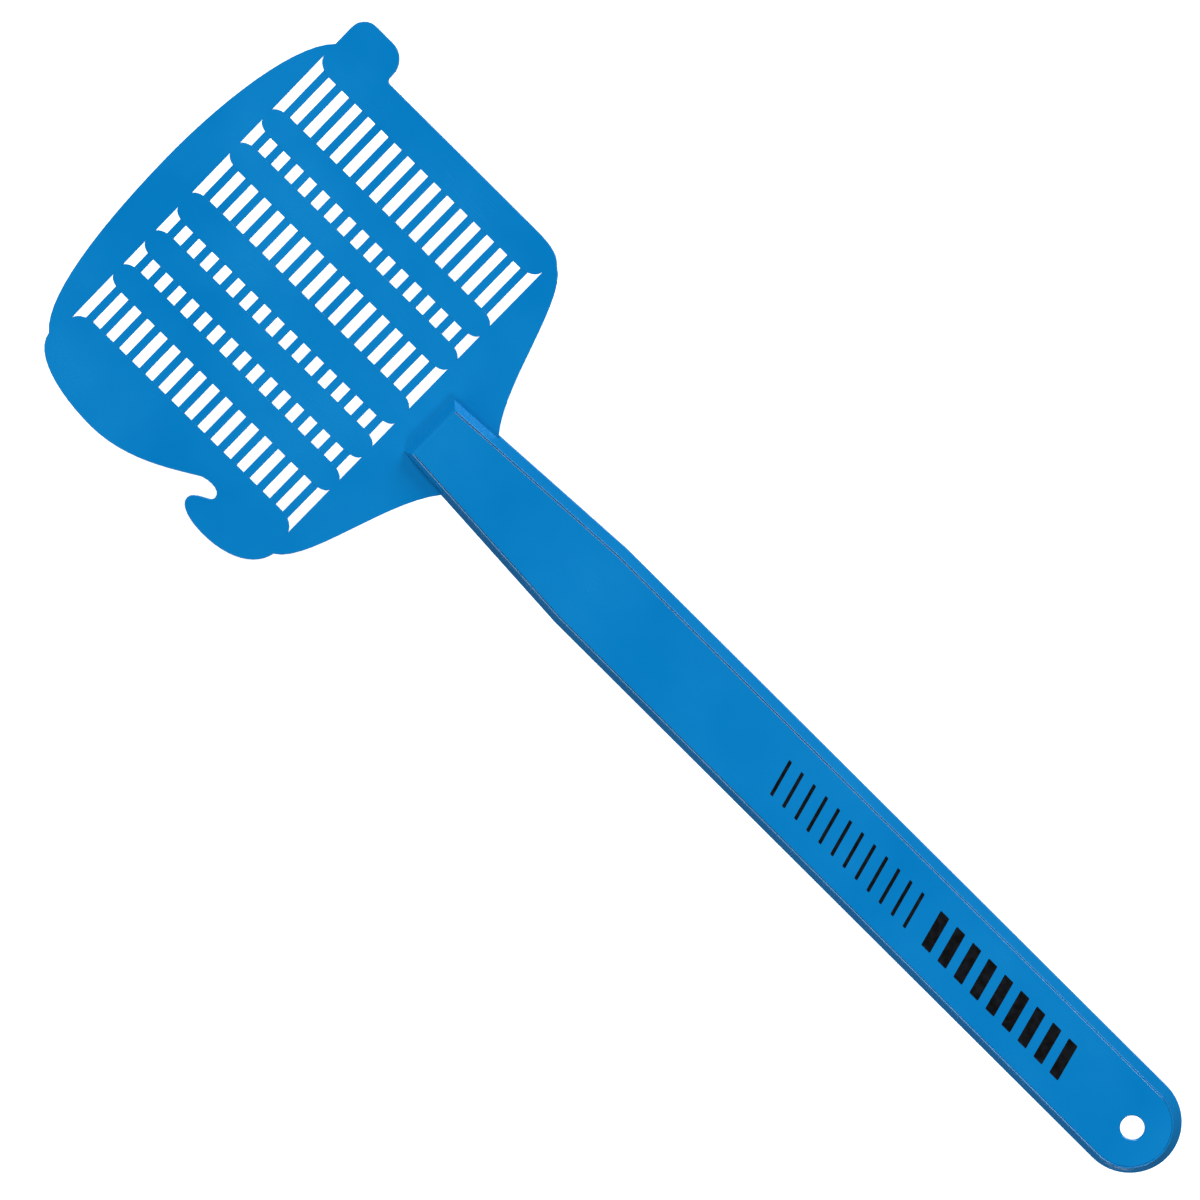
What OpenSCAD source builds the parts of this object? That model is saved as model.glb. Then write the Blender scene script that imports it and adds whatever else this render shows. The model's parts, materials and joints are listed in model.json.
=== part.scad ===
// Fly swatter, lying on its back: the handle's hang hole is at the origin,
// +Y runs up the handle to the head, +X is the side with the corner lug, +Z is the face.
// It is one blue moulding, drawn as its crown, sides, blades, slats, flex band and handle shell,
// each a solid that meets its neighbours face to face, plus the black stripes printed on the handle.

/* [Handle] */
// Width of the handle at its back edge
handle_w = 30; // [28:0.5:34]
// Height of the handle's flat face above the back
handle_h = 5.5; // [4.5:0.5:8]
// How far each side leans in from the back to the face
draft = 2.4; // [1:0.1:3]
// Thickness of the handle's side walls and end walls
wall_t = 1.9; // [1.4:0.1:2.4]
// Thickness of the handle's face
face_t = 1.6; // [1.2:0.1:2]
// Distance from the hang hole to where the handle starts to narrow
straight_y = 219; // [190:1:225]
// Distance from the hang hole to the raised end of the handle
nose_y = 285.5; // [280:0.5:286]
// Width of the handle's back edge at the raised end
nose_w = 22.3; // [20:0.1:24]
// How far the raised end's front slopes back
nose_lean = 3.5; // [0.5:0.1:4]

/* [Hang hole] */
// Diameter of the hang hole
hang_d = 6.9; // [4:0.1:8]
// Distance from the hang hole to the near end of the handle
hang_edge = 13.7; // [12:0.1:14]
// Wall round the hang hole
boss_wall = 2.2; // [1.5:0.1:3]

/* [Ribs under the handle] */
// Thickness of every rib
rib_t = 1.4; // [1:0.1:2]
// How far the ribs stop above the back
rib_gap = 0.6; // [0.3:0.1:1.5]
// Distance from the hang hole to the first cross rib
rib_start = 18; // [15:1:20]
// Distance between cross ribs
rib_pitch = 22; // [15:1:22]
// Number of cross ribs on each side of the centre rib
rib_count = 12; // [6:1:12]

/* [Head] */
// Thickness of the crown, the lower rail, the flex band and the gussets
frame_t = 1.6; // [1.3:0.1:2]
// Thickness of the blades and the two sides
blade_t = 1.6; // [1.5:0.1:2.6]
// Thickness of the slats, whose face lies level with the blades
slat_t = 1.3; // [0.8:0.1:1.4]
// Length of the flex band along the handle
flex_l = 4.5; // [3:0.5:5.5]
// Height of the crown above the slots
crown_h = 12.4; // [10:0.1:16]
// Distance from the centre line to the left side's two bulges
bulge_x = 70; // [68:0.2:74]
// Distance from the centre line to the right side's straight edge
side_x = 61.8; // [61:0.2:66]
// How far the corner lug stands out from the right side
lug_l = 9; // [8:0.2:14]
// Height of the corner lug
lug_h = 18.1; // [14:0.1:24]
// Distance from the hang hole to where the shoulders leave the handle
neck_y = 267.8; // [262:0.2:270]

/* [Slots] */
// Distance from the hang hole to the lowest edge of the slots
field_y = 292; // [291.8:0.1:293]
// Distance from one row of slots to the next
slot_pitch = 5.325; // [5:0.025:5.4]
// Height of one slot
slot_h = 2.87; // [2:0.01:3.2]
// Number of rows of slots
slot_rows = 17; // [16:1:17]
// Width of the rounding at each corner of a blade
blade_round_w = 2.3; // [1:0.1:4]
// Height of the rounding at each corner of a blade
blade_round_h = 5; // [2:0.5:8]
// Width of the rounding at the inner corners of the two sides
side_round_w = 3.8; // [1:0.1:5]
// Height of the rounding at the inner corners of the two sides
side_round_h = 6; // [2:0.5:10]

/* [Printed stripes] */
// Height of the stripes across the handle
stripe_h = 11; // [6:0.5:14]
// Thickness of the ink
ink_t = 0.1; // [0.06:0.02:0.2]
// How far a stripe leans along the handle
stripe_lean = 3; // [0:0.5:6]
// Thickness of a fine stripe
fine_t = 1.1; // [0.6:0.1:2]
// Number of fine stripes
fine_count = 12; // [6:1:16]
// Thickness of a bold stripe
bold_t = 3.4; // [2:0.1:4]
// Number of bold stripes
bold_count = 9; // [5:1:9]

/* [Hidden] */
$fn = 96;
blue = [0, 0.5, 0.78];
black = [0.03, 0.03, 0.03];
wide = 200;                                // wider than the swatter, for cutting boxes

// Handle
handle_r = handle_w / 2;
end_y = handle_r - hang_edge;              // centre of the handle's round end
taper = atan((handle_w - nose_w) / 2 / (nose_y - straight_y));
roof_z = handle_h - face_t;                // underside of the handle's face
boss_r = hang_d / 2 + boss_wall;
nose_depth = nose_lean + wall_t + 1;       // length of side wall that belongs to the nose
wall_end_y = nose_y - nose_depth;

// Head
rail_y = nose_y + flex_l;                  // where the flex band hands over to the lower rail
slat_h = slot_pitch - slot_h;
field_top = field_y + (slot_rows - 1) * slot_pitch + slot_h;
bay_left = [-47.8, -27.7, -14, 1.2, 21.3, 34.7];     // left edges of the slotted bays
bay_right = [-35.9, -22.5, -8.8, 13.1, 26.5, 50.7];  // right edges of the slotted bays
bay_count = len(bay_left);
blade_count = bay_count - 1;
inner_left = bay_left[0];                  // inner edges of the two sides
inner_right = bay_right[bay_count - 1];
crown_left = [-59.2, field_top + 1.8];    // corners where the sides meet crown and rail
crown_right = [59, field_top];
rail_left = [-58.6, field_y - 1.4];
rail_right = [58.6, field_y - 1.8];
neck_x = handle_r - (neck_y - straight_y) * tan(taper) - 0.5;   // just inside the handle's edge

// Printed stripes, from the near end to the far end of each run
bold_y = [24.5, 82.5];
fine_y = [86, 143.6];

// Points on a cubic curve with four control points
function curve(p, n) = [for (i = [0:n]) let (t = i / n, s = 1 - t)
    s * s * s * p[0] + 3 * s * s * t * p[1] + 3 * s * t * t * p[2] + t * t * t * p[3]];

// Points on an arc about c from angle a to angle b; r holds its half width and half height
function arc(c, r, a, b, n = 8) = [for (i = [0:n]) let (v = a + (b - a) * i / n)
    c + [r[0] * cos(v), r[1] * sin(v)]];

function backwards(p) = [for (i = [len(p) - 1:-1:0]) p[i]];

// How far a drafted wall has leaned in at height z
function lean(z) = draft * z / handle_h;

// How far the raised end's front has sloped back at height z
function slant(z) = nose_lean * z / handle_h;

// Top edge of the crown, right to left
function crown_edge() = let (top = [0, field_top + crown_h]) concat(
    curve([crown_right, crown_right + [-7.9, 8.4], top + [24, 0], top], 14),
    curve([top, top + [-26.8, 0], crown_left + [6.8, 8], crown_left], 14));

// Outer edge of the left side, top to bottom: upper bulge, waist, notch, hook and lower bulge
function left_edge() = let (bulge = [-bulge_x, 354.4], waist = [-57.4, 321],
                            notch = [-59.1, 314.1], hook = [-64.8, 320],
                            heel = [0.8 - bulge_x, 309.5]) concat(
    curve([crown_left, crown_left + [-7.4, -0.8], bulge + [0, 13.1], bulge], 12),
    curve([bulge, bulge + [0, -13.9], waist + [-4.8, 8], waist], 12),
    curve([waist, waist + [1.1, -3.7], notch + [2.2, 0], notch], 6),
    curve([notch, notch + [-1.9, 0], hook + [3.2, 0], hook], 8),
    curve([hook, hook + [-3.1, 0], heel + [0, 5], heel], 8),
    curve([heel, heel + [0, -10.5], rail_left + [-6.4, 1.4], rail_left], 12));

// Outer edge of the right side, bottom to top: rounded corner, straight edge and corner lug
function right_edge() = let (edge_y = field_y + 10, lug_x = side_x + lug_l,
                             lug_y = crown_right[1] - lug_h, fillet = 1.2, low_r = 6.5,
                             high_r = 5) concat(
    curve([rail_right, rail_right + [2.6, 2.3], [side_x, edge_y - 6], [side_x, edge_y]], 10),
    arc([side_x + fillet, lug_y - fillet], [fillet, fillet], 180, 90, 4),
    arc([lug_x - low_r, lug_y + low_r], [low_r, low_r], -90, 0),
    arc([lug_x - high_r, crown_right[1] - high_r], [high_r, high_r], 0, 90));

// Inner edge of a side, bottom to top, with the solid to the left (s = 1) or right (s = -1)
function inner_edge(x, s) = let (r = [side_round_w, side_round_h]) concat(
    arc([x - s * r[0], field_y + r[1]], r, -90, -90 + s * 90),
    arc([x - s * r[0], field_top - r[1]], r, 90 - s * 90, 90));

// Shoulder from a lower corner of the head down to the neck
function shoulder(corner, s) = curve([corner, corner + [-s * 5.3, -9], [s * 24, 278],
                                      [s * neck_x, neck_y]], 14);

module crown_outline() {
    polygon(concat([[inner_right + side_round_w, field_top]], crown_edge(),
                   [[inner_left - side_round_w, field_top]]));
}

module left_outline() {
    polygon(concat(left_edge(), inner_edge(inner_left, 1)));
}

module right_outline() {
    polygon(concat(right_edge(), [crown_right], backwards(inner_edge(inner_right, -1))));
}

// Everything below the slots: lower rail, flex band and gussets
module shoulders_outline() {
    polygon(concat(backwards(shoulder(rail_left, -1)),
                   [[inner_left - side_round_w, field_y], [inner_right + side_round_w, field_y]],
                   shoulder(rail_right, 1)));
}

module blade_outline(k) {
    r = [blade_round_w, blade_round_h];
    x0 = bay_right[k - 1] + r[0];
    x1 = bay_left[k] - r[0];
    y0 = field_y + r[1];
    y1 = field_top - r[1];
    polygon(concat(arc([x0, y0], r, 180, 270), arc([x1, y0], r, 270, 360),
                   arc([x1, y1], r, 0, 90), arc([x0, y1], r, 90, 180)));
}

module band(y0, y1) {
    translate([-wide / 2, y0]) square([wide, y1 - y0]);
}

// Head

module head_crown() {
    color(blue) linear_extrude(frame_t) crown_outline();
}

module head_left_side() {
    color(blue) linear_extrude(blade_t) left_outline();
}

module head_right_side() {
    color(blue) linear_extrude(blade_t) right_outline();
}

module head_lower_rail() {
    color(blue) linear_extrude(frame_t) intersection() {
        shoulders_outline();
        band(rail_y, field_y);
    }
}

module flex_band() {
    color(blue) linear_extrude(frame_t) intersection() {
        shoulders_outline();
        band(nose_y, rail_y);
    }
}

module neck_gussets() {
    color(blue) difference() {
        linear_extrude(frame_t) intersection() {
            shoulders_outline();
            band(neck_y - 1, nose_y);
        }
        handle_solid(0, -1, handle_h);
    }
}

module blade(k) {
    color(blue) linear_extrude(blade_t) blade_outline(k);
}

module slats_bay(k) {
    reach = max(side_round_w, blade_round_w) + 0.1;     // far enough to meet the rounded ends
    x0 = bay_left[k - 1] - reach;
    x1 = bay_right[k - 1] + reach;
    color(blue) translate([0, 0, blade_t - slat_t]) linear_extrude(slat_t) difference() {
        for (row = [1:slot_rows - 1])
            translate([x0, field_y + row * slot_pitch - slat_h]) square([x1 - x0, slat_h]);
        if (k == 1) left_outline();
        else blade_outline(k - 1);
        if (k == bay_count) right_outline();
        else blade_outline(k);
    }
}

// Handle

// The handle's drafted outer shape between two heights, drawn inset by a wall thickness
module handle_solid(inset, z0, z1) {
    r = handle_r - inset;
    front = nose_y - inset;
    low = z0 - 1;
    high = z1 + 1;
    intersection() {
        translate([0, end_y, z0]) cylinder(r1 = r - lean(z0), r2 = r - lean(z1), h = z1 - z0);
        translate([-wide / 2, end_y - wide, low]) cube([wide, wide, high - low]);
    }
    intersection() {
        translate([0, front, 0]) rotate([90, 0, 0]) linear_extrude(front - end_y)
            polygon([[lean(z0) - r, z0], [r - lean(z0), z0],
                     [r - lean(z1), z1], [lean(z1) - r, z1]]);
        tapered_side(r, low, high);
        mirror([1, 0, 0]) tapered_side(r, low, high);
        rotate([90, 0, 90]) linear_extrude(wide, center = true)
            polygon([[end_y - 1, low], [front - slant(low), low],
                     [front - slant(high), high], [end_y - 1, high]]);
    }
}

// A long block whose right face is the handle's right side where the handle narrows
module tapered_side(r, low, high) {
    translate([r, straight_y, 0]) rotate([0, 0, taper]) rotate([90, 0, 0])
        linear_extrude(4 * wide, center = true)
        polygon([[-wide / 2, low], [-lean(low) * cos(taper), low],
                 [-lean(high) * cos(taper), high], [-wide / 2, high]]);
}

// The walls below the handle's face, all the way round
module wall_ring() {
    difference() {
        handle_solid(0, 0, roof_z);
        handle_solid(wall_t, -1, roof_z + 1);
    }
}

// Section of a side wall from its outer back edge inwards, narrowed by k where it is cut square on
module wall_section(k) {
    top = lean(roof_z);
    polygon([[-wall_t * k, 0], [0, 0], [-top * k, roof_z], [-(wall_t + top) * k, roof_z]]);
}

module straight_wall() {
    color(blue) translate([handle_r, straight_y, 0]) rotate([90, 0, 0])
        linear_extrude(straight_y - end_y) wall_section(1);
}

module taper_wall() {
    color(blue) intersection() {
        translate([handle_r, straight_y, 0]) rotate([0, 0, taper])
            translate([0, nose_y - straight_y, 0]) rotate([90, 0, 0])
            linear_extrude(nose_y - end_y) wall_section(cos(taper));
        translate([0, straight_y, 0]) cube([wide, wall_end_y - straight_y, handle_h]);
    }
}

module handle_left_wall() {
    mirror([1, 0, 0]) straight_wall();
}

module handle_right_wall() {
    straight_wall();
}

module taper_left_wall() {
    mirror([1, 0, 0]) taper_wall();
}

module taper_right_wall() {
    taper_wall();
}

module handle_end_wall() {
    color(blue) intersection() {
        wall_ring();
        translate([-wide / 2, end_y - wide, 0]) cube([wide, wide, handle_h]);
    }
}

module nose_wall() {
    color(blue) intersection() {
        wall_ring();
        translate([-wide / 2, wall_end_y, 0]) cube([wide, wide, handle_h]);
    }
}

module handle_face() {
    color(blue) difference() {
        handle_solid(0, roof_z, handle_h);
        translate([0, 0, roof_z - 1]) cylinder(r = boss_r, h = face_t + 2);
    }
}

module hang_hole_boss() {
    color(blue) difference() {
        cylinder(r = boss_r, h = handle_h);
        translate([0, 0, -1]) cylinder(d = hang_d, h = handle_h + 2);
    }
}

module centre_rib() {
    color(blue) difference() {
        intersection() {
            translate([-rib_t / 2, 0, rib_gap]) cube([rib_t, nose_y, roof_z - rib_gap]);
            handle_solid(wall_t, 0, roof_z);
        }
        cylinder(r = boss_r, h = handle_h);
    }
}

module cross_ribs() {
    color(blue) difference() {
        intersection() {
            for (i = [0:rib_count - 1])
                translate([-wide / 2, rib_start + i * rib_pitch, rib_gap])
                    cube([wide, rib_t, roof_z - rib_gap]);
            handle_solid(wall_t, 0, roof_z);
        }
        translate([-rib_t / 2, 0, -1]) cube([rib_t, nose_y, handle_h]);
    }
}

// Printed stripes

module stripes(run, count, thickness) {
    pitch = (run[1] - run[0] - thickness - stripe_lean) / (count - 1);
    color(black) translate([0, 0, handle_h]) linear_extrude(ink_t)
        for (i = [0:count - 1])
            translate([0, run[0] + i * pitch])
                polygon([[-stripe_h / 2, 0], [stripe_h / 2, stripe_lean],
                         [stripe_h / 2, stripe_lean + thickness], [-stripe_h / 2, thickness]]);
}

module fine_stripes() {
    stripes(fine_y, fine_count, fine_t);
}

module bold_stripes() {
    stripes(bold_y, bold_count, bold_t);
}

head_crown();
head_left_side();
head_right_side();
head_lower_rail();
for (k = [1:blade_count])
    blade(k);
for (k = [1:bay_count])
    slats_bay(k);
flex_band();
neck_gussets();
nose_wall();
handle_face();
handle_left_wall();
handle_right_wall();
taper_left_wall();
taper_right_wall();
handle_end_wall();
hang_hole_boss();
centre_rib();
cross_ribs();
fine_stripes();
bold_stripes();
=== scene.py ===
import json
from math import atan, cos, pi, radians, sin

import bmesh
import bpy
from mathutils import Matrix, Vector
from mathutils.bvhtree import BVHTree
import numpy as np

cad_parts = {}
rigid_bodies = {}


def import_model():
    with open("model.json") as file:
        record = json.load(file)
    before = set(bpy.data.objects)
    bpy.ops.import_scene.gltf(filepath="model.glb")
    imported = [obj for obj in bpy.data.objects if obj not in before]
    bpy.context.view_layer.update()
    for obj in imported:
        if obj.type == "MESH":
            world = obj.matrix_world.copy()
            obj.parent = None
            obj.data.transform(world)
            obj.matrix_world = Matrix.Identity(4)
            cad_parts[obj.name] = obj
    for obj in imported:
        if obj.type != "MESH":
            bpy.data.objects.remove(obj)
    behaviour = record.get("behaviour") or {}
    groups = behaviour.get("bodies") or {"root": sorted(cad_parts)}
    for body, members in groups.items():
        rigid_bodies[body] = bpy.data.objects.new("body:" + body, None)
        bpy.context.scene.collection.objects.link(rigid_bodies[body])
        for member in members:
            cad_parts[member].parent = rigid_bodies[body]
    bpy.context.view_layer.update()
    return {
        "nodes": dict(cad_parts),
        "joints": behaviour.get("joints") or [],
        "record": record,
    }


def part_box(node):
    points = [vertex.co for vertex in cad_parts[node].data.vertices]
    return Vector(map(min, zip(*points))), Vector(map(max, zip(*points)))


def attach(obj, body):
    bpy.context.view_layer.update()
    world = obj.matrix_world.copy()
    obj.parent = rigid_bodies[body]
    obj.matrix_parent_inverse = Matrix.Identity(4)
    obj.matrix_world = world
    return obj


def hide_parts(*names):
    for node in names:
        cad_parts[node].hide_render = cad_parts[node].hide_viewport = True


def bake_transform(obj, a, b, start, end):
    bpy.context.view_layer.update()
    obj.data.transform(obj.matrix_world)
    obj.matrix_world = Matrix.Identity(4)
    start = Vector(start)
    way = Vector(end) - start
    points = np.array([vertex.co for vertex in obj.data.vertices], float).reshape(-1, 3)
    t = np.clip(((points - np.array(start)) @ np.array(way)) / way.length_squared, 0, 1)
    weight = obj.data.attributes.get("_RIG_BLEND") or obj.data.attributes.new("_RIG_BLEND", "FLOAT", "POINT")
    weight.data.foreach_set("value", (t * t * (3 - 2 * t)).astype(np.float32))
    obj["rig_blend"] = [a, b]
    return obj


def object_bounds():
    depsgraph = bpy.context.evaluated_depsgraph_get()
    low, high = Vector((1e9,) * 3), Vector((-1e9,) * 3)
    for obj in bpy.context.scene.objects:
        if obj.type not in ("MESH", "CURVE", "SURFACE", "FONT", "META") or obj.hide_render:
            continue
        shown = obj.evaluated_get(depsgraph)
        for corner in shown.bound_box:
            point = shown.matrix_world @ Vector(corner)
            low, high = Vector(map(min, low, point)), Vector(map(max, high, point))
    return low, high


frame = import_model()

mm = 0.001
scene = bpy.context.scene
neckJoint = frame["joints"][0]
handleBody = neckJoint["parent"]
headBody = neckJoint["child"]
print("frame loaded:", len(frame["nodes"]), "nodes")


# small helpers for the material nodes
def addNode(tree, kind, inputs=None, **settings):
    node = tree.nodes.new(kind)
    for name, value in settings.items():
        setattr(node, name, value)
    for name, value in (inputs or {}).items():
        node.inputs[name].default_value = value
    return node


def newMaterial(name):
    material = bpy.data.materials.new(name)
    material.use_nodes = True
    tree = material.node_tree
    return material, tree, tree.nodes["Principled BSDF"]


def noiseAt(tree, coords, scale, detail=2.0, roughness=0.5, distortion=0.0):
    noise = addNode(tree, "ShaderNodeTexNoise", {
        "Scale": scale, "Detail": detail, "Roughness": roughness, "Distortion": distortion})
    tree.links.new(coords, noise.inputs["Vector"])
    return noise.outputs["Fac"]


def stretched(tree, coords, scale, turn=0.0):
    mapping = addNode(tree, "ShaderNodeMapping", {"Scale": scale, "Rotation": (0, 0, turn)})
    tree.links.new(coords, mapping.inputs["Vector"])
    return mapping.outputs["Vector"]


def spread(tree, value, fromLow, fromHigh, toLow, toHigh):
    remap = addNode(tree, "ShaderNodeMapRange", {
        "From Min": fromLow, "From Max": fromHigh, "To Min": toLow, "To Max": toHigh})
    remap.clamp = True
    tree.links.new(value, remap.inputs["Value"])
    return remap.outputs["Result"]


def combine(tree, operation, first, second):
    maths = addNode(tree, "ShaderNodeMath", operation=operation)
    for socket, value in zip(maths.inputs, (first, second)):
        if isinstance(value, (int, float)):
            socket.default_value = value
        else:
            tree.links.new(value, socket)
    return maths.outputs["Value"]


def tint(tree, amount, first, second):
    mix = addNode(tree, "ShaderNodeMix", data_type="RGBA")
    tree.links.new(amount, mix.inputs["Factor"])
    sockets = [socket for socket in mix.inputs if socket.type == "RGBA"]
    for socket, value in zip(sockets, (first, second)):
        if isinstance(value, tuple):
            socket.default_value = value
        else:
            tree.links.new(value, socket)
    return [socket for socket in mix.outputs if socket.type == "RGBA"][0]


def bumpFrom(tree, height, strength, distance, under=None):
    bump = addNode(tree, "ShaderNodeBump", {"Strength": strength, "Distance": distance})
    tree.links.new(height, bump.inputs["Height"])
    if under:
        tree.links.new(under, bump.inputs["Normal"])
    return bump.outputs["Normal"]


plastic = {
    "blue": (0.0, 0.212, 0.565, 1),
    "deepBlue": (0.0, 0.196, 0.538, 1),
    "paleBlue": (0.003, 0.228, 0.590, 1),
    "rubbedBlue": (0.08, 0.31, 0.64, 1),
    # the dark blue below is painted shade in the groove along the handle's top edges
    "grooveShadeBlue": (0.0, 0.070, 0.17, 1),
    "roughness": 0.23,
    "specular": 0.35,
    "ior": 1.49,
    "mottleScale": 22,                       # clouds a few centimetres across
    "flowScale": (150, 9, 150),              # streaks along the handle, where the melt ran
    "grainScale": 2400,                      # fine skin of the mould
    "peelScale": 900,
    "sinkScale": 70,                         # slow waves where thick walls shrank
    "rubScale": 260,
    "scratchScale": (1500, 26, 1500),
    "scratchTurns": ((0.5, 1.0), (-0.9, 1.48), (1.9, 2.05)),
    "scratchWidth": 0.006,
    "scratchPatches": 45,                    # scratches come in patches
    "patchEdge": (0.52, 0.68, 0.0, 1.0),
    "rubCover": (0.42, 0.62, 0.03, 0.4),     # the four numbers are noise from, to, and effect from, to
    "cloudCover": (0.35, 0.65, 0.0, 1.0),
    "flowCover": (0.45, 0.75, 0.0, 0.45),
    "grainCover": (0.35, 0.65, 0.0, 0.16),
    # the next two set how strongly the groove's painted shade shows
    "grooveShadeCover": (-1.0, 0.0, 0.85, 0.0),
    "grooveShadeAlong": (0.035, 0.15, 0.3, 1.0),   # painted shade in the groove fades towards the hang hole
    "mottleRough": (0.3, 0.7, -0.04, 0.04),
    "grainRough": (0.3, 0.7, -0.03, 0.03),
    "scratchRough": 0.12,
    "rubbedRough": 0.18,
    "peelShare": 0.7,
    "grainShare": 0.3,
    "scratchShare": 0.35,
    "skinBump": (0.3, 0.014 * mm),
    "sinkBump": (0.4, 0.10 * mm),
}


def hairScratches(tree, place):
    p = plastic
    hairs = None
    for turn, size in p["scratchTurns"]:
        lines = noiseAt(tree, stretched(tree, place, p["scratchScale"], turn), size, 0)
        offset = combine(tree, "ABSOLUTE", combine(tree, "SUBTRACT", lines, 0.5), 0)
        hair = spread(tree, offset, 0.0, p["scratchWidth"], 1.0, 0.0)
        hairs = combine(tree, "MAXIMUM", hairs, hair) if hairs else hair
    patches = noiseAt(tree, place, p["scratchPatches"])
    return combine(tree, "MULTIPLY", hairs, spread(tree, patches, *p["patchEdge"]))


def bluePlastic():
    p = plastic
    material, tree, shader = newMaterial("bluePlastic")
    place = addNode(tree, "ShaderNodeTexCoord").outputs["Object"]
    mottle = noiseAt(tree, place, p["mottleScale"], 3, 0.55)
    flow = noiseAt(tree, stretched(tree, place, p["flowScale"]), 1, 3, 0.5, 0.4)
    grain = noiseAt(tree, place, p["grainScale"], 2, 0.6)
    peel = noiseAt(tree, place, p["peelScale"], 1, 0.5)
    scratches = hairScratches(tree, place)

    # this attribute is 1 on rubbed edges and -1 in the groove, which is painted darker as shade
    wearOrShade = addNode(tree, "ShaderNodeAttribute", attribute_name="edgeWearAndShade").outputs["Fac"]
    rubs = noiseAt(tree, place, p["rubScale"], 4, 0.65)
    rubbed = combine(tree, "MULTIPLY", combine(tree, "MAXIMUM", wearOrShade, 0.0),
                     spread(tree, rubs, *p["rubCover"]))
    split = addNode(tree, "ShaderNodeSeparateXYZ")
    tree.links.new(place, split.inputs["Vector"])
    # painted shade in the groove, weaker towards the hang hole
    along = spread(tree, split.outputs["Y"], *p["grooveShadeAlong"])
    grooveShade = combine(tree, "MULTIPLY", spread(tree, wearOrShade, *p["grooveShadeCover"]), along)

    colour = tint(tree, spread(tree, mottle, *p["cloudCover"]), p["deepBlue"], p["paleBlue"])
    colour = tint(tree, spread(tree, flow, *p["flowCover"]), colour, p["blue"])
    colour = tint(tree, spread(tree, grain, *p["grainCover"]), colour, p["deepBlue"])
    colour = tint(tree, rubbed, colour, p["rubbedBlue"])
    # painted shade: the groove's faces are tinted dark blue
    colour = tint(tree, grooveShade, colour, p["grooveShadeBlue"])
    tree.links.new(colour, shader.inputs["Base Color"])

    rough = combine(tree, "ADD", p["roughness"], spread(tree, mottle, *p["mottleRough"]))
    rough = combine(tree, "ADD", rough, spread(tree, grain, *p["grainRough"]))
    rough = combine(tree, "ADD", rough, combine(tree, "MULTIPLY", scratches, p["scratchRough"]))
    rough = combine(tree, "ADD", rough, combine(tree, "MULTIPLY", rubbed, p["rubbedRough"]))
    tree.links.new(rough, shader.inputs["Roughness"])

    peeled = combine(tree, "MULTIPLY", peel, p["peelShare"])
    grained = combine(tree, "MULTIPLY", grain, p["grainShare"])
    scratched = combine(tree, "MULTIPLY", scratches, p["scratchShare"])
    skin = combine(tree, "SUBTRACT", combine(tree, "ADD", peeled, grained), scratched)
    normal = bumpFrom(tree, skin, *p["skinBump"])
    normal = bumpFrom(tree, noiseAt(tree, place, p["sinkScale"], 1), *p["sinkBump"], under=normal)
    tree.links.new(normal, shader.inputs["Normal"])

    shader.inputs["IOR"].default_value = p["ior"]
    shader.inputs["Specular IOR Level"].default_value = p["specular"]
    return material


ink = {
    "black": (0.0012, 0.0012, 0.0016, 1),
    "thinBlack": (0.004, 0.006, 0.010, 1),
    "roughness": 0.5,
    "specular": 0.15,
    "coverScale": 500,
    "coverSpread": (0.4, 0.7, 0.0, 1.0),
    "coverRough": (0.3, 0.7, -0.08, 0.1),
    "meshScale": 3200,                       # weave of the printing screen
    "bump": (0.35, 0.008 * mm),
}


def stripeInk():
    material, tree, shader = newMaterial("stripeInk")
    place = addNode(tree, "ShaderNodeTexCoord").outputs["Object"]
    cover = noiseAt(tree, place, ink["coverScale"], 4, 0.6)
    weave = noiseAt(tree, place, ink["meshScale"], 1)
    colour = tint(tree, spread(tree, cover, *ink["coverSpread"]), ink["black"], ink["thinBlack"])
    tree.links.new(colour, shader.inputs["Base Color"])
    rough = combine(tree, "ADD", ink["roughness"], spread(tree, cover, *ink["coverRough"]))
    tree.links.new(rough, shader.inputs["Roughness"])
    normal = bumpFrom(tree, combine(tree, "ADD", cover, weave), *ink["bump"])
    tree.links.new(normal, shader.inputs["Normal"])
    shader.inputs["Specular IOR Level"].default_value = ink["specular"]
    return material


blueFinish = bluePlastic()
inkFinish = stripeInk()
print("materials ready")

# shaping helpers
weld = 0.002 * mm
seamSlack = 0.02 * mm
level = 0.98                                 # least normal.z of a level face
nearlyLevel = 0.95
upright = 0.6                                # most normal.z of an upright face
coplanar = radians(0.6)
wearAndShade = {                                     # 1 is a rubbed edge, -1 is painted shade in the groove
    "outside": 1.0,
    "inside": 0.5,
    "ribs": 0.6,
    "rim": 0.4,
    "none": 0.0,
    "paintedShade": -1.0,
}
bandLow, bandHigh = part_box("flex_band")


def startMesh():
    bm = bmesh.new()
    bm.faces.layers.float.new("edgeWearAndShade")
    return bm


def everything(bm):
    return bm.verts[:] + bm.edges[:] + bm.faces[:]


def copyOfNode(name):
    bm = bmesh.new()
    bm.from_mesh(frame["nodes"][name].data)
    bmesh.ops.remove_doubles(bm, verts=bm.verts, dist=weld)
    bmesh.ops.dissolve_limit(bm, angle_limit=coplanar, verts=bm.verts, edges=bm.edges)
    bmesh.ops.recalc_face_normals(bm, faces=bm.faces)
    bm.faces.layers.float.new("edgeWearAndShade")
    return bm


def surfaceOf(name):
    mesh = frame["nodes"][name].data
    return BVHTree.FromPolygons([vert.co for vert in mesh.vertices],
                                [face.vertices for face in mesh.polygons])


def meets(edge, surfaces):
    # true where the edge's middle lies on another part of the moulding
    middle = (edge.verts[0].co + edge.verts[1].co) / 2
    return any(surface.find_nearest(middle, seamSlack)[0] is not None for surface in surfaces)


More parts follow.
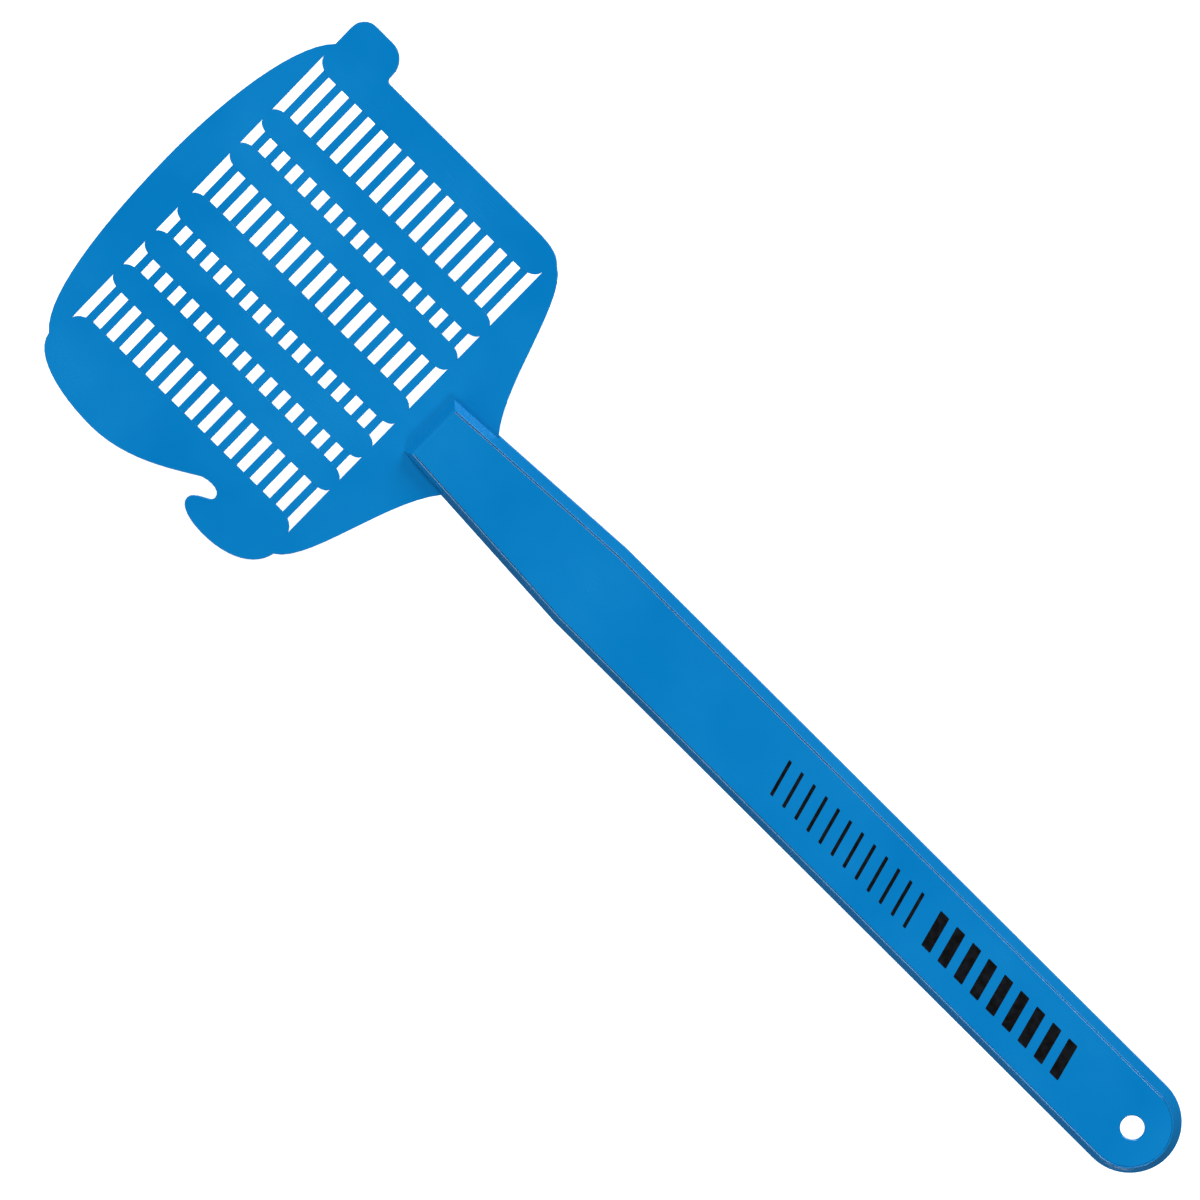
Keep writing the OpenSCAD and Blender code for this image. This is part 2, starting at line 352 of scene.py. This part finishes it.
def roundEdges(bm, edges, width, steps, wearOrShade):
    made = bmesh.ops.bevel(bm, geom=edges, offset=width, offset_type="OFFSET", segments=steps,
                           profile=0.5, affect="EDGES", clamp_overlap=True, material=-1)
    layer = bm.faces.layers.float["edgeWearAndShade"]
    for face in made["faces"]:
        face[layer] = wearOrShade


def rimEdges(bm, up, skip):
    # edges between a level face and an upright one; up is 1 for the top, -1 for the back
    found = []
    for edge in bm.edges:
        if len(edge.link_faces) != 2:
            continue
        tilt = sorted(face.normal.z * up for face in edge.link_faces)
        if tilt[1] > nearlyLevel and abs(tilt[0]) < upright and not skip(edge):
            found.append(edge)
    return found


def onLine(edge, y):
    return all(abs(vert.co.y - y) < seamSlack for vert in edge.verts)


def levelFace(bm, point, up):
    # the largest level face that looks up or down and lies over or under a point
    flat = [face for face in bm.faces if face.normal.z * up > level]
    flat.sort(key=lambda face: -face.calc_area())
    for face in flat:
        spot = Vector((point[0], point[1], face.calc_center_median().z))
        if bmesh.geometry.intersect_face_point(face, spot):
            return face
    return None


def fillBetween(bm, edges, up):
    bmesh.ops.triangle_fill(bm, use_beauty=True, use_dissolve=False, edges=edges, normal=(0, 0, up))


def pressMarks(bm, marks, up=-1, segments=24):
    # round marks (x, y, radius, depth) sunk in a level face, or proud of it where depth is negative
    byFace = {}
    for mark in marks:
        face = levelFace(bm, mark, up)
        if face:
            byFace.setdefault(face, []).append(mark)
    for face, found in byFace.items():
        height = face.calc_center_median().z
        rim = list(face.edges)
        bmesh.ops.delete(bm, geom=[face], context="FACES_ONLY")
        rings = []
        for x, y, radius, depth in found:
            disc = bmesh.ops.create_circle(bm, cap_ends=False, segments=segments, radius=radius,
                                           matrix=Matrix.Translation((x, y, height)))
            verts = set(disc["verts"])
            rings.append(([edge for edge in bm.edges if verts.issuperset(edge.verts)], depth))
        fillBetween(bm, rim + [edge for ring, depth in rings for edge in ring], up)
        for ring, depth in rings:
            grown = bmesh.ops.extrude_edge_only(bm, edges=ring)["geom"]
            verts = [part for part in grown if isinstance(part, bmesh.types.BMVert)]
            floorEdges = [part for part in grown if isinstance(part, bmesh.types.BMEdge)
                          and set(verts).issuperset(part.verts)]
            bmesh.ops.translate(bm, verts=verts, vec=(0, 0, -up * depth))
            bmesh.ops.contextual_create(bm, geom=floorEdges)
    bmesh.ops.recalc_face_normals(bm, faces=bm.faces)


def finishPiece(bm, name, material, sharpAngle=50):
    # a bevel that meets itself leaves faces with no area
    bmesh.ops.dissolve_degenerate(bm, dist=weld / 10, edges=bm.edges[:])
    for face in bm.faces:
        face.smooth = True
    for edge in bm.edges:
        onSeam = onLine(edge, bandLow.y) or onLine(edge, bandHigh.y)
        edge.smooth = edge.calc_face_angle(0) < radians(sharpAngle) and not onSeam
    mesh = bpy.data.meshes.new(name)
    bm.to_mesh(mesh)
    bm.free()
    if "custom_normal" in mesh.attributes:   # left over from the node's own mesh
        mesh.attributes.remove(mesh.attributes["custom_normal"])
    mesh.materials.append(material)
    piece = bpy.data.objects.new(name, mesh)
    scene.collection.objects.link(piece)
    normals = piece.modifiers.new("evenShading", "WEIGHTED_NORMAL")
    normals.keep_sharp = True
    return piece


head = {
    "topRound": 0.26 * mm,
    "slotRound": 0.10 * mm,                  # along the slots, where the face stays crisp
    "backRound": 0.12 * mm,
    "steps": 3,
    "slotSteps": 2,
    "shortest": 0.05 * mm,                   # shorter edges at the back stay as they are
    "markRadius": 2.0 * mm,                  # ejector marks on the back
    "markDepth": 0.12 * mm,
    "fieldMargin": 4.5 * mm,
}
bladeNodes = sorted(name for name in frame["nodes"] if name.startswith("blade_"))
slatNodes = sorted(name for name in frame["nodes"] if name.startswith("slats_bay_"))
frameNodes = ["head_crown", "head_left_side", "head_right_side", "head_lower_rail"]
fieldLow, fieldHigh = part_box(bladeNodes[0])
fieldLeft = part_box(slatNodes[0])[0].x - head["fieldMargin"]
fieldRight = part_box(slatNodes[-1])[1].x + head["fieldMargin"]


def besideSlots(edge):
    x, y = ((edge.verts[0].co + edge.verts[1].co) / 2).xy
    return fieldLeft < x < fieldRight and fieldLow.y - seamSlack < y < fieldHigh.y + seamSlack


def plate(node, pieceName, marks=()):
    bm = copyOfNode(node)
    neighbours = [surfaceOf(name) for name in frameNodes + bladeNodes + ["flex_band"] if name != node]

    def seam(edge):
        return (onLine(edge, bandHigh.y) or onLine(edge, fieldLow.y) or onLine(edge, fieldHigh.y)
                or meets(edge, neighbours))
    pressMarks(bm, [(x, y, head["markRadius"], head["markDepth"]) for x, y in marks])
    rim = rimEdges(bm, 1, seam)
    inner = [edge for edge in rim if besideSlots(edge)]
    outer = [edge for edge in rim if not besideSlots(edge)]
    if inner:
        roundEdges(bm, inner, head["slotRound"], head["slotSteps"], wearAndShade["inside"])
    outer = [edge for edge in outer if edge.is_valid]
    if outer:
        roundEdges(bm, outer, head["topRound"], head["steps"], wearAndShade["outside"])
    under = [edge for edge in rimEdges(bm, -1, seam) if edge.calc_length() > head["shortest"]
             and any(vert.co.z < seamSlack / 2 for vert in edge.verts)]
    roundEdges(bm, under, head["backRound"], 1, wearAndShade["inside"])
    piece = finishPiece(bm, pieceName, blueFinish)
    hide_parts(node)
    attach(piece, headBody)


def spotsAcross(node, count, share):
    low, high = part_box(node)
    return [(low.x + (high.x - low.x) * (i + 0.5) / count, low.y + (high.y - low.y) * share)
            for i in range(count)]


def spotsAlong(node, count, share):
    low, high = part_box(node)
    return [(low.x + (high.x - low.x) * share, low.y + (high.y - low.y) * (i + 0.5) / count)
            for i in range(count)]


plate("head_crown", "headCrown", spotsAcross("head_crown", 5, 0.35))
plate("head_left_side", "headLeftSide", spotsAlong("head_left_side", 4, 0.42))
plate("head_right_side", "headRightSide", spotsAlong("head_right_side", 4, 0.38))
plate("head_lower_rail", "headLowerRail")
for number, node in enumerate(bladeNodes, 1):
    plate(node, f"blade{number}", spotsAlong(node, 3, 0.5))
print("head plates and", len(bladeNodes), "blades done")

slats = {
    "topRound": 0.10 * mm,
    "backRound": 0.10 * mm,
    "steps": 2,
}


def slatBay(node, pieceName):
    bm = copyOfNode(node)

    def slatEnd(edge):
        return abs(edge.verts[0].co.y - edge.verts[1].co.y) > seamSlack
    roundEdges(bm, rimEdges(bm, 1, slatEnd), slats["topRound"], slats["steps"], wearAndShade["inside"])
    roundEdges(bm, rimEdges(bm, -1, slatEnd), slats["backRound"], 1, wearAndShade["inside"])
    piece = finishPiece(bm, pieceName, blueFinish)
    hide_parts(node)
    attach(piece, headBody)


for number, node in enumerate(slatNodes, 1):
    slatBay(node, f"slatsBay{number}")
print(len(slatNodes), "bays of slats done")

neck = {
    "topRound": 0.26 * mm,
    "steps": 3,
    "bendCuts": 10,
}


def flexBand():
    bm = copyOfNode("flex_band")

    def seam(edge):
        return onLine(edge, bandLow.y) or onLine(edge, bandHigh.y)
    roundEdges(bm, rimEdges(bm, 1, seam), neck["topRound"], neck["steps"], wearAndShade["outside"])
    for cut in range(1, neck["bendCuts"]):
        y = bandLow.y + (bandHigh.y - bandLow.y) * cut / neck["bendCuts"]
        bmesh.ops.bisect_plane(bm, geom=everything(bm), dist=weld, plane_co=(0, y, 0),
                               plane_no=(0, 1, 0))
    piece = finishPiece(bm, "flexBand", blueFinish)
    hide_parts("flex_band")
    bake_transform(piece, handleBody, headBody, start=(0, bandLow.y, 0), end=(0, bandHigh.y, 0))


def neckGussets():
    bm = copyOfNode("neck_gussets")
    neighbours = [surfaceOf(name) for name in handleNodes + ["flex_band"]]
    roundEdges(bm, rimEdges(bm, 1, lambda edge: meets(edge, neighbours)), neck["topRound"],
               neck["steps"], wearAndShade["outside"])
    piece = finishPiece(bm, "neckGussets", blueFinish)
    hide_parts("neck_gussets")
    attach(piece, handleBody)


handleNodes = ["handle_face", "handle_left_wall", "handle_right_wall", "taper_left_wall",
               "taper_right_wall", "handle_end_wall", "nose_wall", "hang_hole_boss"]
flexBand()
neckGussets()
print("neck done")

handle = {
    "lipRise": 0.38 * mm,                    # small lip round the back edge
    "lipStep": 0.3 * mm,
    "lipRound": 0.12 * mm,
    "shoulder": 0.16 * mm,
    "noseRound": 2.0 * mm,                   # where the face turns down to the head
    "noseTurns": (8, 17, 27, 37, 47),        # degrees back from the slope
    "noseReach": 8 * mm,                     # the nose's own faces lie within this
    "pastNose": 6 * mm,                      # spare length that the nose's cut takes off
    "square": 0.02 * mm,                     # keeps the lip's side almost upright
    "rimRound": 0.12 * mm,
    "rimWidth": 0.18 * mm,                   # narrow rim outside the groove
    "grooveHalf": 0.2 * mm,
    "grooveDepth": 0.16 * mm,
    "wall": 1.9 * mm,
    "boreRound": 0.5 * mm,
    "boreFoot": 0.3 * mm,
    "bossRound": 0.25 * mm,
    "ribRound": 0.3 * mm,
    "endSteps": 64,
    "boreSteps": 72,
    "boreTurn": 15,                          # degrees between the points of the bore's rounded edge
    "endCut": 12 * mm,                       # cuts off a short face round the hang hole
    "markRadius": 2.2 * mm,                  # ejector marks between the ribs
    "markDepth": 0.12 * mm,
    "markSide": 6.4 * mm,
    "bays": 11,                              # between the cross ribs
    "gateBay": 5,
    "gateRadius": 1.1 * mm,                  # stub of the gate where the plastic came in
    "gateRise": 0.35 * mm,
}

# the shell's own sizes, read from the nodes that it stands for
wallLow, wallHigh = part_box("handle_right_wall")
endLow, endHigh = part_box("handle_end_wall")
noseLow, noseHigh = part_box("nose_wall")
faceLow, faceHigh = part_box("handle_face")
bossLow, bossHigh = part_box("hang_hole_boss")
halfWidth = wallHigh.x
endCentre = endLow.y + halfWidth
taperStart = wallHigh.y
noseY = noseHigh.y
topZ = faceHigh.z
roofZ = faceLow.z
draft = (halfWidth - faceHigh.x) * topZ / roofZ
noseLean = (noseY - faceHigh.y) * topZ / roofZ
slope = (halfWidth - noseHigh.x) / (noseLow.y - taperStart)
boreRadius = frame["record"]["mounts"][0]["dims"]["r_mm"] * mm


def stepIn(bm, face, inwards, rise):
    bmesh.ops.inset_region(bm, faces=[face], thickness=inwards, depth=rise, use_boundary=True,
                           use_even_offset=True)


def footprint(bm):
    # the handle seen from above, with a round end and a taper that runs past the nose
    tip = noseY + handle["pastNose"]
    tipHalf = halfWidth - slope * (tip - taperStart)
    outline = ((halfWidth, endCentre), (halfWidth, taperStart), (tipHalf, tip),
               (-tipHalf, tip), (-halfWidth, taperStart), (-halfWidth, endCentre))
    corners = [bm.verts.new((x, y, 0)) for x, y in outline]
    for pair in zip(corners, corners[1:]):
        bm.edges.new(pair)
    bmesh.ops.spin(bm, geom=[corners[-1]], cent=(0, endCentre, 0), axis=(0, 0, 1), angle=pi,
                   steps=handle["endSteps"])
    bmesh.ops.remove_doubles(bm, verts=bm.verts, dist=weld)
    bmesh.ops.contextual_create(bm, geom=bm.edges[:])
    top = bm.faces[:][0]
    if top.normal.z < 0:
        top.normal_flip()
    return top


def raiseWalls(bm, top):
    # lip, shoulder, leaning wall, rim and groove
    h = handle
    stepIn(bm, top, h["square"], h["lipRise"])
    stepIn(bm, top, h["lipStep"] - h["square"], h["shoulder"])
    stepIn(bm, top, draft - h["lipStep"], topZ - h["lipRise"] - h["shoulder"])
    stepIn(bm, top, h["rimWidth"], 0)
    stepIn(bm, top, h["grooveHalf"], -h["grooveDepth"])
    stepIn(bm, top, h["grooveHalf"], h["grooveDepth"])
    bmesh.ops.holes_fill(bm, edges=bm.edges[:], sides=0)


def cutNose(bm):
    # one cut for the slope, then cuts tangent to the curve between slope and face
    slopeTurn = atan(noseLean / topZ)
    radius = handle["noseRound"]
    centreZ = topZ - radius
    centreY = noseY - (radius + centreZ * sin(slopeTurn)) / cos(slopeTurn)
    cuts = [(slopeTurn, (0, noseY, 0))]
    for degrees in handle["noseTurns"]:
        turn = slopeTurn + radians(degrees)
        cuts.append((turn, (0, centreY + radius * cos(turn), centreZ + radius * sin(turn))))
    for turn, point in cuts:
        bmesh.ops.bisect_plane(bm, geom=everything(bm), dist=weld, plane_co=point,
                               plane_no=(0, cos(turn), sin(turn)), clear_outer=True)
        bmesh.ops.holes_fill(bm, edges=[edge for edge in bm.edges if edge.is_boundary], sides=0)
    bmesh.ops.recalc_face_normals(bm, faces=bm.faces)


def paintGrooveShade(bm):
    # painted shade: the groove's faces lean sideways and look up and are marked to be drawn darker; the
    # nose's face looks forwards and stays unmarked
    layer = bm.faces.layers.float["edgeWearAndShade"]
    for face in bm.faces:
        middle = face.calc_center_median().z
        inGroove = topZ - handle["grooveDepth"] < middle < topZ - weld and face.normal.z > 0.3
        face[layer] = wearAndShade["paintedShade"] if inGroove and abs(face.normal.x) > 0.1 else wearAndShade["none"]


def hollowBack(bm):
    downward = [face for face in bm.faces if face.normal.z < -level]
    bottom = max(downward, key=lambda face: face.calc_area())
    lean = roofZ / topZ
    stepIn(bm, bottom, handle["wall"], 0)
    stepIn(bm, bottom, draft * lean, -roofZ)
    far = max(vert.co.y for vert in bottom.verts)
    ahead = [vert for vert in bottom.verts if vert.co.y > far - weld]
    bmesh.ops.translate(bm, verts=ahead, vec=(0, (draft - noseLean) * lean, 0))


def isNose(face):
    forwards = face.normal.y > 0.05 and abs(face.normal.x) < 0.01
    return forwards and face.calc_center_median().y > noseY - handle["noseReach"]


def roundRim(bm):
    h = handle
    lipTop = h["lipRise"] + h["shoulder"]
    rim = []
    for edge in bm.edges:
        if len(edge.link_faces) != 2 or max(vert.co.z for vert in edge.verts) < lipTop + weld:
            continue
        walls = [face for face in edge.link_faces if abs(face.normal.z) < upright and not isNose(face)
                 and face.calc_center_median().z > 1 * mm]
        others = [face for face in edge.link_faces if isNose(face)
                  or face.normal.z > level and face.calc_center_median().z > topZ - weld]
        if len(walls) == 1 and len(others) == 1:
            rim.append(edge)
    roundEdges(bm, rim, h["rimRound"], 3, wearAndShade["rim"])
    lip = [edge for edge in bm.edges if all(abs(vert.co.z - h["lipRise"]) < weld for vert in edge.verts)
           and not any(isNose(face) for face in edge.link_faces)]
    roundEdges(bm, lip, h["lipRound"], 2, wearAndShade["outside"])


def ringAt(bm, radius, z):
    return [edge for edge in bm.edges if all(
        abs(vert.co.z - z) < weld and abs(vert.co.xy.length - radius) < weld for vert in edge.verts)]


def boreHole(bm):
    # bore and boss are one turned profile, joined to the face above and to the roof below
    h = handle
    bmesh.ops.bisect_plane(bm, geom=everything(bm), dist=weld, plane_co=(0, h["endCut"], 0),
                           plane_no=(0, 1, 0))
    upperFace = levelFace(bm, (0, 0), 1)
    roof = levelFace(bm, (0, 0), -1)
    faceRim = list(upperFace.edges)
    roofRim = list(roof.edges)
    bmesh.ops.delete(bm, geom=[upperFace, roof], context="FACES_ONLY")
    curve = h["boreRound"]
    bossRadius = bossHigh.x
    turns = [radians(turn) for turn in range(0, 91, h["boreTurn"])]
    profile = [(boreRadius + curve * (1 - sin(a)), topZ - curve * (1 - cos(a))) for a in turns]
    profile += [(boreRadius, h["boreFoot"]), (boreRadius + h["boreFoot"], 0),
                (bossRadius - h["bossRound"], 0), (bossRadius, h["bossRound"]), (bossRadius, roofZ)]
    points = [bm.verts.new((r, 0, z)) for r, z in profile]
    line = [bm.edges.new(pair) for pair in zip(points, points[1:])]
    bmesh.ops.spin(bm, geom=points + line, cent=(0, 0, 0), axis=(0, 0, 1), angle=2 * pi,
                   steps=h["boreSteps"], use_merge=True)
    fillBetween(bm, faceRim + ringAt(bm, boreRadius + curve, topZ), 1)
    fillBetween(bm, roofRim + ringAt(bm, bossRadius, roofZ), -1)
    bmesh.ops.remove_doubles(bm, verts=bm.verts, dist=weld)
    bmesh.ops.recalc_face_normals(bm, faces=bm.faces)


def mouldMarks():
    # ejector marks between the cross ribs, and the gate's stub half way along
    h = handle
    ribLow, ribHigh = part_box("cross_ribs")
    pitch = (ribHigh.y - ribLow.y) / h["bays"]
    rows = [ribLow.y + pitch * (bay + 0.5) for bay in range(h["bays"])]
    marks = [(side * h["markSide"], y, h["markRadius"], h["markDepth"])
             for y in rows[::2] for side in (-1, 1)]
    marks.append((h["markSide"], rows[h["gateBay"]], h["gateRadius"], -h["gateRise"]))
    return marks


def handleShell():
    bm = startMesh()
    raiseWalls(bm, footprint(bm))
    cutNose(bm)
    paintGrooveShade(bm)
    hollowBack(bm)
    roundRim(bm)
    boreHole(bm)
    pressMarks(bm, mouldMarks())
    print("  open edges in the shell:", sum(1 for edge in bm.edges if len(edge.link_faces) != 2))
    piece = finishPiece(bm, "handleShell", blueFinish, 38)
    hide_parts(*handleNodes)
    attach(piece, handleBody)


def ribs(node, pieceName):
    bm = copyOfNode(node)
    roundEdges(bm, rimEdges(bm, -1, lambda edge: False), handle["ribRound"], 2, wearAndShade["ribs"])
    piece = finishPiece(bm, pieceName, blueFinish)
    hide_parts(node)
    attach(piece, handleBody)


handleShell()
ribs("centre_rib", "centreRib")
ribs("cross_ribs", "crossRibs")
print("handle done")

stripes = {
    "thickness": 0.04 * mm,
    "sunk": 0.01 * mm,
    "cornerRound": 0.25 * mm,
    "steps": 3,
}


def printedStripes(node, pieceName):
    bm = copyOfNode(node)
    for vert in bm.verts:
        isTop = vert.co.z > topZ + stripes["sunk"]
        vert.co.z = topZ + stripes["thickness"] if isTop else topZ - stripes["sunk"]
    corners = [edge for edge in bm.edges if (edge.verts[0].co.xy - edge.verts[1].co.xy).length < weld]
    roundEdges(bm, corners, stripes["cornerRound"], stripes["steps"], wearAndShade["none"])
    piece = finishPiece(bm, pieceName, inkFinish)
    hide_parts(node)
    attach(piece, handleBody)


printedStripes("fine_stripes", "fineStripes")
printedStripes("bold_stripes", "boldStripes")
print("stripes done")

stage = {
    "middle": (0, 0.2, 0),
    "floorHalf": 6.0,
    "clearance": 1 * mm,
    "floorColour": (0.92, 0.92, 0.92, 1),
    "roughness": 0.9,
    "glow": 0.62,
}


def layFloor():
    # low enough for the head to bend down to its limit
    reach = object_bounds()[1][1] - neckJoint["pos_m"][1]
    drop = reach * sin(radians(max(neckJoint["range_deg"]))) + stage["clearance"]
    bm = bmesh.new()
    place = Vector(stage["middle"]) - Vector((0, 0, drop))
    bmesh.ops.create_grid(bm, x_segments=1, y_segments=1, size=stage["floorHalf"],
                          matrix=Matrix.Translation(place))
    mesh = bpy.data.meshes.new("floor")
    bm.to_mesh(mesh)
    bm.free()
    floor = bpy.data.objects.new("floor", mesh)
    scene.collection.objects.link(floor)
    material, tree, shader = newMaterial("paleFloor")
    shader.inputs["Base Color"].default_value = stage["floorColour"]
    shader.inputs["Roughness"].default_value = stage["roughness"]
    shader.inputs["Specular IOR Level"].default_value = 0.0
    shader.inputs["Emission Color"].default_value = (1, 1, 1, 1)
    shader.inputs["Emission Strength"].default_value = stage["glow"]
    clear = addNode(tree, "ShaderNodeBsdfTransparent")
    facing = addNode(tree, "ShaderNodeNewGeometry").outputs["Backfacing"]
    mix = addNode(tree, "ShaderNodeMixShader")
    tree.links.new(facing, mix.inputs[0])
    tree.links.new(shader.outputs[0], mix.inputs[1])
    tree.links.new(clear.outputs[0], mix.inputs[2])
    tree.links.new(mix.outputs[0], tree.nodes["Material Output"].inputs["Surface"])
    mesh.materials.append(material)
    floor.visible_glossy = False
    floor.visible_diffuse = False
    floor.visible_shadow = False


lights = {
    "headKey": {"at": (1.52, 2.78, 2.5), "size": 1.0, "power": 89},
    "sideFill": {"at": (3.53, 0.2, 1.65), "size": 2.0, "power": 108},
    "farFill": {"at": (-3.53, 0.3, 1.65), "size": 2.6, "power": 50},
    "endFill": {"at": (-0.75, -1.3, 1.2), "size": 0.3, "power": 12.8},
    "underFill": {"at": (0, 0.2, -1.6), "size": 1.6, "power": 26},
}
room = {
    "strength": 0.06,
    "seenColour": (0.9, 0.9, 0.9, 1),
}


def softLights():
    middle = Vector(stage["middle"])
    for name, light in lights.items():
        lamp = bpy.data.lights.new(name, "AREA")
        lamp.size = light["size"]
        lamp.energy = light["power"]
        holder = bpy.data.objects.new(name, lamp)
        holder.location = light["at"]
        holder.visible_camera = False
        holder.rotation_euler = (middle - Vector(light["at"])).to_track_quat("-Z", "Y").to_euler()
        scene.collection.objects.link(holder)


def paleRoom():
    world = bpy.data.worlds.new("paleRoom")
    world.use_nodes = True
    tree = world.node_tree
    lit = tree.nodes["Background"]
    lit.inputs["Color"].default_value = (1, 1, 1, 1)
    lit.inputs["Strength"].default_value = room["strength"]
    seen = addNode(tree, "ShaderNodeBackground", {"Color": room["seenColour"], "Strength": 1.0})
    path = addNode(tree, "ShaderNodeLightPath")
    mix = addNode(tree, "ShaderNodeMixShader")
    tree.links.new(path.outputs["Is Camera Ray"], mix.inputs[0])
    tree.links.new(lit.outputs[0], mix.inputs[1])
    tree.links.new(seen.outputs[0], mix.inputs[2])
    tree.links.new(mix.outputs[0], tree.nodes["World Output"].inputs["Surface"])
    scene.world = world


view = {
    "target": (-1.18 * mm, 214.32 * mm, 0),
    "tiltAcross": 8.02,                      # degrees towards the lug side
    "tiltAlong": 0.89,                       # degrees towards the hang hole
    "roll": 44.53,
    "distance": 1.6,
    "frameWidth": 344.83 * mm,
    "sensor": 36,
    "clipEnd": 50,
}


def standCamera():
    v = view
    back = Vector((sin(radians(v["tiltAcross"])), -sin(radians(v["tiltAlong"])), 0))
    back.z = (1 - back.length_squared) ** 0.5
    up = Vector((cos(radians(v["roll"])), sin(radians(v["roll"])), 0))
    up = (up - back * up.dot(back)).normalized()
    right = up.cross(back)
    data = bpy.data.cameras.new("camera")
    data.sensor_width = v["sensor"]
    data.lens = data.sensor_width * v["distance"] / v["frameWidth"]
    data.clip_end = v["clipEnd"]
    camera = bpy.data.objects.new("camera", data)
    turn = Matrix((right, up, back)).transposed().to_4x4()
    camera.matrix_world = Matrix.Translation(Vector(v["target"]) + back * v["distance"]) @ turn
    scene.collection.objects.link(camera)
    scene.camera = camera


layFloor()
softLights()
paleRoom()
standCamera()
scene.view_settings.view_transform = "Standard"
print("floor, lights and camera ready")
